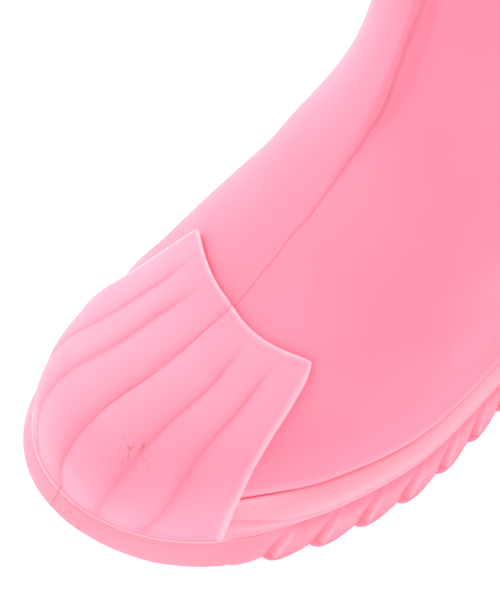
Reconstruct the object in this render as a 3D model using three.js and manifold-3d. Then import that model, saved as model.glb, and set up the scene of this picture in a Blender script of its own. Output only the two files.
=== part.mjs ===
// A left rubber rain boot. Millimetres, +Z up, toe towards -Y, heel towards +Y, outer side towards +X.
import * as THREE from 'three';
import { LoftGeometry } from 'three/addons/geometries/LoftGeometry.js';
import { mergeVertices } from 'three/addons/utils/BufferGeometryUtils.js';
import Module from 'manifold-3d';

const wasm = await Module();
wasm.setup();

// ---- overall sizes ----
const bootHeight = 250; // ground to the top of the rim
const upperLength = 272; // toe to heel of the rubber upper
const outerWidth = 56; // ridge line to the outer side at the ball of the foot
const innerWidth = 46; // ridge line to the inner side there
const instepHeight = 75; // widest level to the top of the foot form
const shaftDepth = 143; // front to back at the rim
const shaftWidth = 106; // side to side at the rim

// ---- wall layers ----
const gap = 0.3; // clearance between touching pieces
const rubber = 2.4;
const stiffener = 1.2; // toe puff and heel counter
const knit = 1.2; // lining
const capThickness = 1.9;
const capNose = 2.2; // how much thicker the cap is over the toes
const ribRelief = 0.9; // depth of the creases between the cap's ribs

// ---- sole ----
const plate = 14; // ground to the underside of the upper
const soleTop = 20; // ground to the top edge of the outsole's wall
const grooveHeight = 30; // ground to the groove where the side rand meets the upper
const bumperHeight = 17;
const bumperOut = 5; // how far the toe bumper's top edge stands out from the upper
const bumperSlope = 3.5; // how much further its foot stands out
const ledgeOut = 5.2; // how far the side rand stands out
const wallOut = 5; // outsole wall between two lobes
const lobeOut = 4.4; // how far a lobe stands out from that wall
const lobePitch = 15;
const lobeSteep = 0.2; // the share of a lobe that its front takes up
const lobeLean = 0.55; // how far a lobe leans back per mm of height
const treadDepth = 4;
const treadWidth = 4.5;
const treadEdge = 4; // how far inside the upper's outline the tread grooves end
const toeSpring = 5; // rise of the sole at the toe tip
const springStart = 48; // where that rise begins, behind the toe

// ---- inside the sole ----
const heelLift = 10; // foot pitch from ball to heel
const wedgeToe = 3; // wedge thickness under the toes
const boardThickness = 2;
const footbedThickness = 4.5;
const footbedClearance = 3; // round the footbed's edge
const shankLength = 96;
const shankWidth = 15;
const shankThickness = 1.5;

// ---- rim, puff and counter ----
const bindingDrop = 12; // height of the binding's outer apron
const bindingThickness = 1.6;
const bindingCrown = 3.7; // binding above the shell's edge
const bindingRound = 1.4; // height of its rounded top
const puffLength = 62;
const counterLength = 84;
const counterHeight = 80;
const layerEase = 16; // how far past them the lining stays clear

// ---- toe cap, measured on the upper ----
const capBack = 61; // toe tip to the middle of the cap's rear edge
const capCorner = 68; // toe tip to the plane of its rear corners
const capHalf = { outer: 29, inner: 27 }; // ridge line to each rear corner
const capFoot = 28; // toe tip to where its side edges meet the bumper
const capSteps = { across: 32, down: 13 }; // faces of its top

const around = 32; // points round a section
const reachOut = 150; // how far a cutting solid reaches to each side
const rootDepth = 8; // how far the bumper and the rand reach in, before the upper is cut out of them
const toeY = -upperLength / 2;
const heelY = upperLength / 2;
const shellEdge = bootHeight - bindingCrown;

// A smooth line through hand-set points.
function curve(points) {
  const slope = points.slice(1).map((p, i) => (p[1] - points[i][1]) / (p[0] - points[i][0]));
  const tangent = points.map((p, i) => {
    if (i === 0) return slope[0];
    if (i === slope.length) return slope[i - 1];
    const before = p[0] - points[i - 1][0];
    const after = points[i + 1][0] - p[0];
    return (slope[i - 1] * after + slope[i] * before) / (before + after);
  });
  return x => {
    const u = Math.min(Math.max(x, points[0][0]), points.at(-1)[0]);
    const i = Math.max(0, points.findIndex(p => p[0] >= u) - 1);
    const h = points[i + 1][0] - points[i][0];
    const t = (u - points[i][0]) / h;
    const rise = t * t * (3 - 2 * t);
    const lead = t * (1 - t) * ((1 - t) * tangent[i] - t * tangent[i + 1]);
    return points[i][1] * (1 - rise) + points[i + 1][1] * rise + lead * h;
  };
}

const step = (low, high, x) => {
  const t = Math.min(Math.max((x - low) / (high - low), 0), 1);
  return t * t * (3 - 2 * t);
};

// ---- the foot and shaft form ----
// Shares of the upper's length from the toe, against shares of the driving width or height.
const ridge = curve([[0, .49], [.11, .36], [.22, .47], [.31, .75], [.4, 1], [.51, .99], [.66, .82], [.82, .6],
  [1, .45]]);
const outerSide = curve([[0, .78], [.11, .82], [.22, .92], [.33, 1], [.46, .92], [.63, .7], [.85, .6],
  [1, .6]]);
const innerSide = curve([[0, 1.02], [.11, .95], [.22, .99], [.33, .98], [.46, .87], [.63, .74], [.85, .72],
  [1, .72]]);
// Shares of the boot's height, against the back line's inset, and shares of the rim's depth and width.
const backInset = curve([[0, 6], [.18, 2], [.4, 12], [.6, 13], [.8, 9], [1, 4]]);
const depthShare = curve([[0, .77], [.18, .79], [.4, .81], [.6, .93], [.76, .97], [1, 1]]);
const widthShare = curve([[0, .64], [.18, .66], [.4, .7], [.6, .77], [.76, .89], [1, 1]]);
const widest = 28; // height of the foot's widest level
const lowHalf = 26; // from there down to the form's underside
const toeNose = 78; // how far back the toe's rounding reaches
const heelNose = 46;
const instepBlend = 52; // radius that joins foot and shaft
// How much further the whole sole stands out, against the share of the way round it: 0 at the toe tip,
// half at the heel, and negative on the inner side.
const flare = curve([[-.5, 0], [-.3, -.3], [-.165, -.8], [-.1, -.2], [-.07, 1.2], [-.045, 3], [-.025, 3.7],
  [-.01, 3.5], [.005, 2.4], [.018, 1], [.033, .5], [.05, 1.3], [.066, 2.4], [.08, 3.2], [.1, 3.8],
  [.125, 3.3], [.165, 1.6], [.2, .3], [.25, 0], [.5, 0]]);

function power(terms, n) {
  return terms.reduce((sum, t) => sum + Math.abs(t) ** n, 0) ** (1 / n);
}

function level(x, y, z) {
  const run = (y - toeY) / upperLength;
  const half = x >= 0 ? outerWidth * outerSide(run) : innerWidth * innerSide(run);
  const up = z - widest;
  const tall = up >= 0 ? instepHeight * ridge(run) : lowHalf;
  const tip = Math.max(0, 1 - (y - toeY) / toeNose, 1 - (heelY - 4 - y) / heelNose);
  const n = up >= 0 ? 2.3 : 2.3 + 0.9 * step(0, 12, -up);
  const foot = (power([x / half, up / tall, tip], n) - 1) * half;
  const rise = z / bootHeight;
  const back = heelY - backInset(rise);
  const reach = shaftDepth * depthShare(rise) / 2;
  const side = shaftWidth * widthShare(rise) / 2;
  const shaft = (power([x / side, (y - back + reach) / reach], 2.15) - 1) * Math.min(side, reach);
  const blend = 10 + (instepBlend - 10) * step(35, 90, z) * (1 - step(15, 75, y));
  const mix = Math.min(Math.max(0.5 + 0.5 * (shaft - foot) / blend, 0), 1);
  return shaft * (1 - mix) + foot * mix - blend * mix * (1 - mix);
}

// Distance outside the form, near its surface.
function distance(p) {
  const e = 0.5;
  const at = level(p.x, p.y, p.z);
  const slope = Math.hypot(
    level(p.x + e, p.y, p.z) - at, level(p.x, p.y + e, p.z) - at, level(p.x, p.y, p.z + e) - at) / e;
  return at / Math.max(slope, 0.2);
}

// The point where a ray from inside meets a surface given by its inside test.
function cast(from, direction, outside, reach = 300) {
  let near = 0;
  let far = reach;
  const p = new THREE.Vector3();
  for (let i = 0; i < 26; i++) {
    const middle = (near + far) / 2;
    p.copy(from).addScaledVector(direction, middle);
    if (outside(p) > 0) far = middle;
    else near = middle;
  }
  return p.clone();
}

// ---- sections: cones over the toes, a fan through the instep, level planes up the shaft ----
const toeCentre = new THREE.Vector3(0, toeY + 60, widest + 2);
const fanPivot = new THREE.Vector3(0, toeY + 0.353 * upperLength, 0.6 * bootHeight);
const rightward = new THREE.Vector3(-1, 0, 0);
const forward = new THREE.Vector3(0, -1, 0);

// A section holds the point its rays start from, its upward direction and how far its rays tip forward.
function sections() {
  const upright = new THREE.Vector3(0, 0, 1);
  const list = [];
  for (const tip of [82, 74, 65, 55, 43, 29, 14, 0]) {
    list.push({ centre: toeCentre, up: upright, tip: THREE.MathUtils.degToRad(tip) });
  }
  list.push({ centre: toeCentre.clone().lerp(fanPivot, 0.5).setZ(toeCentre.z), up: upright, tip: 0 });
  const shaftMiddle = heelY - backInset(0.6) - shaftDepth * depthShare(0.6) / 2;
  const fanSteps = 12;
  for (let i = 0; i <= fanSteps; i++) {
    const turn = Math.PI / 2 * i / fanSteps;
    const out = new THREE.Vector3(0, Math.sin(turn), -Math.cos(turn));
    const reach = THREE.MathUtils.lerp(fanPivot.z - toeCentre.z, shaftMiddle - fanPivot.y, i / fanSteps);
    list.push({ centre: fanPivot.clone().addScaledVector(out, reach), up: out.clone().negate(), tip: 0 });
  }
  const heights = [0.7, 0.8, 0.9].map(rise => rise * bootHeight);
  return [...list, ...[...heights, shellEdge - bindingDrop, shellEdge].map(shaftSection)];
}

function shaftSection(z) {
  const rise = z / bootHeight;
  const y = heelY - backInset(rise) - shaftDepth * depthShare(rise) / 2;
  return { centre: new THREE.Vector3(0, y, z), up: forward, tip: 0 };
}

function ringAt(section, offset) {
  return Array.from({ length: around }, (_, i) => {
    const turn = 2 * Math.PI * (i + 0.5) / around;
    const ray = rightward.clone().multiplyScalar(Math.cos(turn)).addScaledVector(section.up, Math.sin(turn));
    ray.multiplyScalar(Math.cos(section.tip)).addScaledVector(forward, Math.sin(section.tip));
    return cast(section.centre, ray, p => distance(p) - offset(p));
  });
}

// ---- solids ----
function toSolid(geometry) {
  const bare = new THREE.BufferGeometry();
  bare.setAttribute('position', geometry.attributes.position);
  bare.setIndex(geometry.index);
  const merged = mergeVertices(bare, 1e-4);
  const vertProperties = new Float32Array(merged.attributes.position.array);
  const triVerts = new Uint32Array(merged.index.array);
  return new wasm.Manifold(new wasm.Mesh({ numProp: 3, vertProperties, triVerts }));
}

function toGeometry(solid) {
  const mesh = solid.getMesh();
  const geometry = new THREE.BufferGeometry();
  geometry.setAttribute('position', new THREE.BufferAttribute(mesh.vertProperties, 3));
  geometry.setIndex(new THREE.BufferAttribute(mesh.triVerts, 1));
  geometry.computeVertexNormals();
  return geometry;
}

// The form grown or shrunk by an offset, above its floor, and closed at the shell's edge or above it.
function formSolid(offset, floor, above = 0) {
  const grow = typeof offset === 'function' ? offset : () => offset;
  const rings = sections().map(section => ringAt(section, grow));
  if (above > 0) rings.push(rings.at(-1).map(p => p.clone().setZ(p.z + above)));
  const whole = toSolid(new LoftGeometry(rings, { capStart: true, capEnd: true }));
  return whole.intersect(slab(floor, () => bootHeight + 50));
}

// A slab across the whole width, between two heights that vary from toe to heel.
function slab(floor, top) {
  const steps = 20;
  const along = height => Array.from({ length: steps + 1 }, (_, i) => {
    const y = toeY - 20 + (upperLength + 40) * i / steps;
    return [y, height(y)];
  });
  return crossSlab([...along(floor), ...along(top).reverse()]);
}

// A closed solid between two grids of points, rows towards the toe and columns towards the outer side.
function patch(top, under) {
  const rows = top.length - 1;
  const columns = top[0].length - 1;
  const at = (layer, j, i) => (layer * (rows + 1) + j) * (columns + 1) + i;
  const index = [];
  const quad = (a, b, c, d) => index.push(a, b, c, a, c, d);
  for (let j = 0; j < rows; j++) {
    for (let i = 0; i < columns; i++) {
      quad(at(0, j, i), at(0, j + 1, i), at(0, j + 1, i + 1), at(0, j, i + 1));
      quad(at(1, j, i), at(1, j, i + 1), at(1, j + 1, i + 1), at(1, j + 1, i));
    }
    quad(at(0, j + 1, 0), at(0, j, 0), at(1, j, 0), at(1, j + 1, 0));
    quad(at(0, j, columns), at(0, j + 1, columns), at(1, j + 1, columns), at(1, j, columns));
  }
  for (let i = 0; i < columns; i++) {
    quad(at(0, 0, i), at(0, 0, i + 1), at(1, 0, i + 1), at(1, 0, i));
    quad(at(0, rows, i + 1), at(0, rows, i), at(1, rows, i), at(1, rows, i + 1));
  }
  const position = [top, under].flat(2).flatMap(p => [p.x, p.y, p.z]);
  const geometry = new THREE.BufferGeometry();
  geometry.setAttribute('position', new THREE.Float32BufferAttribute(position, 3));
  geometry.setIndex(index);
  return toSolid(geometry);
}

function box(low, high) {
  const size = new THREE.Vector3(...high).sub(new THREE.Vector3(...low));
  const geometry = new THREE.BoxGeometry(size.x, size.y, size.z);
  geometry.translate(low[0] + size.x / 2, low[1] + size.y / 2, low[2] + size.z / 2);
  return toSolid(geometry);
}

// A slab across the whole width whose side view is an outline of [y, z] points.
function crossSlab(side) {
  const shape = new THREE.Shape(side.map(([y, z]) => new THREE.Vector2(y, z)));
  const geometry = new THREE.ExtrudeGeometry(shape, { depth: 2 * reachOut, bevelEnabled: false });
  geometry.rotateY(Math.PI / 2);
  geometry.rotateX(Math.PI / 2);
  geometry.translate(-reachOut, 0, 0);
  return toSolid(geometry);
}

// ---- the outline seen from above, at the widest level ----
const outline = (() => {
  const count = 720;
  const points = [];
  for (let i = 0; i < count; i++) {
    const turn = 2 * Math.PI * i / count;
    const side = Math.abs(turn <= Math.PI ? turn : 2 * Math.PI - turn);
    const y = THREE.MathUtils.lerp(toeY + 46, heelY - 40, step(0.7, 2.44, side));
    const direction = new THREE.Vector3(Math.sin(turn), -Math.cos(turn), 0);
    points.push(cast(new THREE.Vector3(0, y, widest), direction, distance));
  }
  const path = new THREE.CatmullRomCurve3(points, true);
  path.arcLengthDivisions = count * 2;
  return path;
})();
const outlineLength = outline.getLength();
const lobeCount = 2 * Math.round(outlineLength / lobePitch / 2);

// A place on the outline, by its share of the way round from the toe tip, and pushed outwards.
function rim(share, out, z) {
  const place = THREE.MathUtils.euclideanModulo(share, 1);
  const p = outline.getPointAt(place);
  const t = outline.getTangentAt(place);
  const far = out + flare(place < 0.5 ? place : place - 1) * step(1, 4, out);
  return new THREE.Vector3(p.x + t.y * far, p.y - t.x * far, z);
}

// The share at which the outline passes a given distance behind the toe tip, on the outer side.
function shareAt(behind, inner = false) {
  let low = 0;
  let high = 0.5;
  for (let i = 0; i < 24; i++) {
    const middle = (low + high) / 2;
    if (outline.getPointAt(inner ? 1 - middle : middle).y - toeY < behind) low = middle;
    else high = middle;
  }
  return inner ? 1 - low : low;
}

// A strip round part of the outline, from a profile of [out, z] points.
function strip(profile, from, to, steps) {
  const rings = Array.from({ length: steps + 1 }, (_, i) => profile.toReversed().map(([out, z]) =>
    rim(THREE.MathUtils.lerp(from, to, i / steps), out, z)));
  return toSolid(new LoftGeometry(rings, { capStart: true, capEnd: true }));
}

// ---- floors inside the sole ----
const pitch = y => heelLift * step(-45, 70, y);
const wedgeFloor = plate + rubber + gap;
const wedgeTop = y => wedgeFloor + wedgeToe + pitch(y);
const boardFloor = y => wedgeTop(y) + gap;
const boardTop = y => boardFloor(y) + boardThickness;
const liningFloor = y => boardTop(y) + gap;
const footbedFloor = y => liningFloor(y) + knit + gap;
const footbedTop = y => footbedFloor(y) + footbedThickness;

// Where the puff and the counter sit, the lining stands further in.
const behindRubber = -(rubber + gap);
function liningOffset(p) {
  const past = size => x => 1 - step(size + layerEase, size + 2.5 * layerEase, x);
  const toe = past(puffLength)(p.y - toeY);
  const heel = past(counterLength)(heelY - p.y);
  const low = past(counterHeight)(p.z);
  return behindRubber - (stiffener + gap) * Math.max(toe, heel * low);
}

const shellSpace = formSolid(gap, () => plate - gap);
const boot = new THREE.Group();

function add(name, solid, look) {
  const mesh = new THREE.Mesh(toGeometry(solid), new THREE.MeshStandardMaterial(look));
  mesh.name = name;
  boot.add(mesh);
}

const pinkRubber = { color: '#ff9ebb', roughness: 0.55, metalness: 0 };
const whiteKnit = { color: '#e9e4e6', roughness: 0.95, metalness: 0 };
const foam = { color: '#d9d2cf', roughness: 0.9, metalness: 0 };
const fibreboard = { color: '#a98a63', roughness: 0.9, metalness: 0 };
const steel = { color: '#9a9da1', roughness: 0.4, metalness: 1 };

// ---- upper ----
function shell() {
  return formSolid(0, () => plate).subtract(formSolid(-rubber, () => plate + rubber, 10));
}

function binding() {
  const deep = rubber + knit + 3 * gap;
  const foot = shellEdge - bindingDrop;
  const shoulder = bootHeight - bindingRound;
  const profile = [
    [gap, foot + 1], [gap + 0.6, foot], [gap + bindingThickness, foot + 1],
    [gap + bindingThickness, shoulder], [0, bootHeight], [-deep, bootHeight],
    [-deep - 0.8, shoulder], [-deep, shellEdge + gap], [gap, shellEdge + gap]];
  const rows = profile.toReversed().map(([out, z]) => ringAt(shaftSection(z), () => out));
  const rings = Array.from({ length: around + 1 }, (_, i) => rows.map(row => row[i % around]));
  return toSolid(new LoftGeometry(rings));
}

// ---- toe cap: a grid from its rear edge (b = 0) to its front line (b = 1), a from inner to outer ----
// Its side edges draw in over the toes, and its ribs meet in creases that run forward and in.
const capEdge = curve([[0, 1], [.1, 1.02], [.24, .98], [.39, .91], [.52, .87], [.62, .88], [.73, .95], [.9, 1],
  [1, 1]]);
const creases = [
  curve([[0, .38], [.1, .37], [.33, .34], [.45, .28], [.6, .25], [1, .27]]),
  curve([[0, .75], [.12, .69], [.34, .6], [.5, .51], [.6, .5], [1, .55]])];

function capPoint(a, b, outside) {
  const from = new THREE.Vector3(0, toeY + 51, widest - 3);
  const half = a > 0 ? capHalf.outer : capHalf.inner;
  const backY = toeY + capBack + (capCorner - capBack) * Math.abs(a) ** 1.3;
  const back = new THREE.Vector3(half * a, backY, widest + 37);
  const share = a > 0 ? shareAt(capFoot) * a : (1 - shareAt(capFoot, true)) * a;
  const front = rim(share, 0, bumperHeight - 4);
  const direction = back.sub(from).multiplyScalar(1 - b).addScaledVector(front.sub(from), b).normalize();
  return cast(from, direction, outside, 120);
}

// The creases fade towards the rear edge.
function ribDepth(a, b) {
  const nearest = Math.min(Math.abs(a), ...creases.map(crease => Math.abs(Math.abs(a) - crease(b))));
  return ribRelief * (1 - step(0, 0.12, nearest)) * step(0, 0.25, b);
}

// The cap's surface points for an inside test, its side edges moved out by a share of its half width.
function capGrid(outside, spread = 0) {
  const { across, down } = capSteps;
  return Array.from({ length: down + 1 }, (_, j) => Array.from({ length: across + 1 }, (_, i) => {
    const b = j / down;
    const a = (2 * i / across - 1) * (capEdge(b) + spread);
    return capPoint(a, b, p => outside(p, a, b));
  }));
}

const aboveBumper = box([-reachOut, toeY - 50, bumperHeight + gap], [reachOut, heelY, bootHeight]);

function toeCap() {
  const out = b => gap + capThickness + capNose * step(0.3, 0.65, b);
  const top = capGrid((p, a, b) => distance(p) - out(b) + ribDepth(a, b));
  const under = capGrid(p => distance(p) + rubber);
  return patch(top, under).subtract(shellSpace).intersect(aboveBumper);
}

function capSpace() {
  const spread = gap / capHalf.inner;
  const wide = ledgeOut + lobeOut;
  const room = patch(capGrid(p => distance(p) - wide, spread), capGrid(p => distance(p) + rubber, spread));
  return room.intersect(box([-reachOut, toeY - 50, bumperHeight], [reachOut, heelY, bootHeight]));
}

// ---- bumper, rand and outsole ----
const bumperEnd = { outer: shareAt(capFoot + 4), inner: shareAt(capFoot + 4, true) - 1 };
const endGap = gap / outlineLength;

function toeRise() {
  const line = Array.from({ length: 9 }, (_, i) => {
    const forwards = (springStart + 20) * i / 8;
    return [toeY + springStart - forwards, toeSpring * (forwards / springStart) ** 2];
  });
  return crossSlab([...line, [toeY - 20, -10], [toeY + springStart, -10]]);
}

function toeBumper() {
  const foot = treadDepth + gap;
  const profile = [
    [-rootDepth, foot], [bumperOut + bumperSlope - 1, foot], [bumperOut + bumperSlope, foot + 3],
    [bumperOut + 0.4, bumperHeight - 2], [bumperOut - 1, bumperHeight], [-rootDepth, bumperHeight]];
  const band = strip(profile, bumperEnd.inner, bumperEnd.outer, 28);
  return band.subtract(shellSpace).subtract(toeRise());
}

// The room the bumper takes out of the outsole, open upwards and outwards.
function bumperSpace() {
  const root = -rootDepth - gap;
  const profile = [[root, treadDepth], [30, treadDepth], [30, grooveHeight], [root, grooveHeight]];
  return strip(profile, bumperEnd.inner - endGap, bumperEnd.outer + endGap, 28);
}

function sideRand() {
  const low = soleTop + gap;
  const profile = [
    [-rootDepth, low], [ledgeOut - 1.4, low], [ledgeOut, low + 2.5], [ledgeOut - 0.4, low + 4],
    [0.6, grooveHeight], [-rootDepth, grooveHeight]];
  const band = strip(profile, shareAt(capFoot - 1), shareAt(capFoot - 1, true), 60);
  return band.subtract(shellSpace).subtract(capSpace());
}

// Sawtooth waves round the sides and the heel: steep towards the toe, and leaning back as they rise.
function lobe(share, z) {
  const side = Math.min(share, 1 - share);
  const phase = THREE.MathUtils.euclideanModulo(side * lobeCount - lobeLean * z / lobePitch, 1);
  return Math.min(phase / lobeSteep, (1 - phase) / (1 - lobeSteep)) * (1 - step(3, soleTop - 2, z));
}

function outsole() {
  const cuts = [shellSpace, toeRise(), treadGrooves(), bumperSpace(), capSpace()];
  return soleBody().subtract(wasm.Manifold.union(cuts));
}

function treadGrooves() {
  const cuts = [];
  for (let i = 1; i < lobeCount / 2; i++) {
    const outer = rim(i / lobeCount, 0, 0);
    const inner = rim(1 - i / lobeCount, 0, 0);
    const length = outer.distanceTo(inner);
    const groove = new THREE.BoxGeometry(length - 2 * treadEdge, treadWidth, 2 * treadDepth);
    groove.rotateZ(Math.atan2(outer.y - inner.y, outer.x - inner.x));
    groove.translate((outer.x + inner.x) / 2, (outer.y + inner.y) / 2, 0);
    if (outer.y - toeY > capFoot + 6 && heelY - outer.y > 14) cuts.push(toSolid(groove));
  }
  return wasm.Manifold.union(cuts);
}

function soleBody() {
  const stations = lobeCount * 5;
  const front = share => share < bumperEnd.outer || share > 1 + bumperEnd.inner;
  const levels = [0, 1.5, treadDepth, soleTop / 2, soleTop - 3, soleTop];
  const rings = levels.map(z => Array.from({ length: stations }, (_, i) => {
    const share = i / stations;
    const edge = z === 0 || z === soleTop ? 1 : 0;
    if (front(share)) return rim(share, bumperOut + bumperSlope - 1 - edge, z);
    return rim(share, wallOut - edge + lobeOut * lobe(share, z), z);
  }));
  return toSolid(new LoftGeometry(rings, { capStart: true, capEnd: true }));
}

// ---- inside ----
function layer(offset, floor, top) {
  return formSolid(offset, floor).intersect(slab(floor, top));
}

// A wall of one layer's thickness against the shell, standing on the insole board.
function stiffenerWall() {
  const inner = formSolid(behindRubber - stiffener, () => plate);
  return formSolid(behindRubber, liningFloor).subtract(inner);
}

function toePuff() {
  return stiffenerWall().intersect(box([-reachOut, toeY, 0], [reachOut, toeY + puffLength, bootHeight]));
}

function heelCounter() {
  const heel = box([-reachOut, heelY - counterLength, 0], [reachOut, heelY, counterHeight]);
  return stiffenerWall().intersect(heel);
}

function lining() {
  const inner = formSolid(p => liningOffset(p) - knit, y => liningFloor(y) + knit, 10);
  return formSolid(liningOffset, liningFloor).subtract(inner);
}

function shankSpace(clearance) {
  const start = -shankLength / 2 + 12;
  const half = shankWidth / 2 + clearance;
  const from = start - clearance;
  const to = start + shankLength + clearance;
  return box([-half, from, wedgeFloor - 1], [half, to, wedgeFloor + shankThickness + clearance]);
}

function wedge() {
  return layer(behindRubber, () => wedgeFloor, wedgeTop).subtract(shankSpace(gap));
}

function shank() {
  return shankSpace(0).intersect(box([-50, -200, wedgeFloor], [50, 200, bootHeight]));
}

function insoleBoard() {
  return layer(behindRubber, boardFloor, boardTop);
}

function footbed() {
  const edge = p => liningOffset(p) - knit - footbedClearance;
  return layer(edge, footbedFloor, footbedTop);
}

add('toe_puff', toePuff(), fibreboard);
add('heel_counter', heelCounter(), fibreboard);
add('midsole_wedge', wedge(), foam);
add('shank', shank(), steel);
add('insole_board', insoleBoard(), fibreboard);
add('lining_sock', lining(), whiteKnit);
add('footbed', footbed(), foam);
add('boot_shell', shell(), pinkRubber);
add('rim_binding', binding(), pinkRubber);
add('toe_cap', toeCap(), pinkRubber);
add('toe_bumper', toeBumper(), pinkRubber);
add('side_rand', sideRand(), pinkRubber);
add('outsole', outsole(), pinkRubber);

// The frame's origin is on the ground under the middle of the boot's box.
const middle = new THREE.Box3().setFromObject(boot).getCenter(new THREE.Vector3());
for (const mesh of boot.children) mesh.position.set(-middle.x, -middle.y, 0);

export default boot;
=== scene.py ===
import math

import bmesh
import bpy
import numpy as np
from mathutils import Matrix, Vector


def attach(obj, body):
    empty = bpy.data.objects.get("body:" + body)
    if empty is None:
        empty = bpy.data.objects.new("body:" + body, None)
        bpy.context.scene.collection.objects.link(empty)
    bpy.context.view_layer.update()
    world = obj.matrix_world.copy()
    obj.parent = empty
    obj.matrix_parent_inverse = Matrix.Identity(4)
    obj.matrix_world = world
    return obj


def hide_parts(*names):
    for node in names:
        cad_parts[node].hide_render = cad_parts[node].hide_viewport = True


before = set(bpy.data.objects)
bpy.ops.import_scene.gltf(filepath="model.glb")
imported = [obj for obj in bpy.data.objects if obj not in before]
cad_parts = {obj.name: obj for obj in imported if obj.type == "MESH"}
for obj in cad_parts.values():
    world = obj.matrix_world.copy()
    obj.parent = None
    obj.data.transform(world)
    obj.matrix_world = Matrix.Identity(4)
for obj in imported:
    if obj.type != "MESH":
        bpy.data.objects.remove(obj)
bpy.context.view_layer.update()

mm = 0.001


# ---------- small tools ----------
def toLinear(code):
    rgb = [int(code[i:i + 2], 16) / 255 for i in (1, 3, 5)]
    return [c / 12.92 if c <= 0.04045 else ((c + 0.055) / 1.055) ** 2.4 for c in rgb] + [1.0]


def ease(low, high, x):
    t = np.clip((x - low) / (high - low), 0, 1)
    return t * t * (3 - 2 * t)


def smoothLine(points):
    x, y = np.array(points, float).T
    gaps = np.diff(x)
    slope = np.diff(y) / gaps
    tangent = np.empty_like(y)
    tangent[0], tangent[-1] = slope[0], slope[-1]
    tangent[1:-1] = (slope[:-1] * gaps[1:] + slope[1:] * gaps[:-1]) / (gaps[1:] + gaps[:-1])

    def at(u):
        u = np.clip(u, x[0], x[-1])
        i = np.clip(np.searchsorted(x, u) - 1, 0, len(x) - 2)
        t = (u - x[i]) / gaps[i]
        rise = t * t * (3 - 2 * t)
        lead = t * (1 - t) * ((1 - t) * tangent[i] - t * tangent[i + 1])
        return y[i] * (1 - rise) + y[i + 1] * rise + lead * gaps[i]
    return at


# ---------- the foot and shaft form, in millimetres, as the frame has it ----------
last = {
    "length": 272, "height": 250,  # upper toe to heel, ground to rim
    "outer": 56, "inner": 46,  # ridge line to each side at the ball
    "instep": 75, "shaftDepth": 143, "shaftWidth": 106,
    "widest": 28, "lowHalf": 26, "toeNose": 78, "heelNose": 46, "blend": 52,
}
toeY, heelY = -last["length"] / 2, last["length"] / 2
place = np.array([-5.67, 1.475, 0])  # the ridge line and the form's middle in the frame
ridge = smoothLine([(0, .49), (.11, .36), (.22, .47), (.31, .75), (.4, 1), (.51, .99), (.66, .82),
                    (.82, .6), (1, .45)])
outerSide = smoothLine([(0, .78), (.11, .82), (.22, .92), (.33, 1), (.46, .92), (.63, .7), (.85, .6), (1, .6)])
innerSide = smoothLine([(0, 1.02), (.11, .95), (.22, .99), (.33, .98), (.46, .87), (.63, .74), (.85, .72),
                        (1, .72)])
backInset = smoothLine([(0, 6), (.18, 2), (.4, 12), (.6, 13), (.8, 9), (1, 4)])
depthShare = smoothLine([(0, .77), (.18, .79), (.4, .81), (.6, .93), (.76, .97), (1, 1)])
widthShare = smoothLine([(0, .64), (.18, .66), (.4, .7), (.6, .77), (.76, .89), (1, 1)])


def level(p):
    x, y, z = p[..., 0], p[..., 1], p[..., 2]
    run = (y - toeY) / last["length"]
    half = np.where(x >= 0, last["outer"] * outerSide(run), last["inner"] * innerSide(run))
    up = z - last["widest"]
    tall = np.where(up >= 0, last["instep"] * ridge(run), last["lowHalf"])
    tip = np.maximum(1 - (y - toeY) / last["toeNose"], 1 - (heelY - 4 - y) / last["heelNose"])
    tip = np.maximum(0, tip)
    n = np.where(up >= 0, 2.3, 2.3 + 0.9 * ease(0, 12, -up))
    foot = ((np.abs(x / half) ** n + np.abs(up / tall) ** n + tip ** n) ** (1 / n) - 1) * half
    rise = z / last["height"]
    back = heelY - backInset(rise)
    reach = last["shaftDepth"] * depthShare(rise) / 2
    side = last["shaftWidth"] * widthShare(rise) / 2
    around = np.abs(x / side) ** 2.15 + np.abs((y - back + reach) / reach) ** 2.15
    shaft = (around ** (1 / 2.15) - 1) * np.minimum(side, reach)
    blend = 10 + (last["blend"] - 10) * ease(35, 90, z) * (1 - ease(15, 75, y))
    mix = np.clip(0.5 + 0.5 * (shaft - foot) / blend, 0, 1)
    return shaft * (1 - mix) + foot * mix - blend * mix * (1 - mix)


def distance(p):
    e = 0.5
    at = level(p)
    slope = np.sqrt(sum((level(p + np.eye(3)[k] * e) - at) ** 2 for k in range(3))) / e
    return at / np.maximum(slope, 0.2)


def cast(start, direction, offset, reach=300):  # offset is a number or a function of the points
    near = np.zeros(direction.shape[:-1])
    far = near + reach
    for _ in range(24):
        middle = (near + far) / 2
        p = start + direction * middle[..., None]
        out = offset(p) if callable(offset) else offset
        outside = distance(p) > out
        far = np.where(outside, middle, far)
        near = np.where(outside, near, middle)
    return start + direction * near[..., None]


# Sections: cones over the toes, level steps, a fan through the instep, level planes up the shaft.
toeCentre = np.array([0, toeY + 60, last["widest"] + 2.0])
fanPivot = np.array([0, toeY + 0.353 * last["length"], 0.6 * last["height"]])
shellEdge = last["height"] - 3.7


def shaftCentre(z):
    rise = z / last["height"]
    return np.array([0, heelY - backInset(rise) - last["shaftDepth"] * depthShare(rise) / 2, z])


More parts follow.
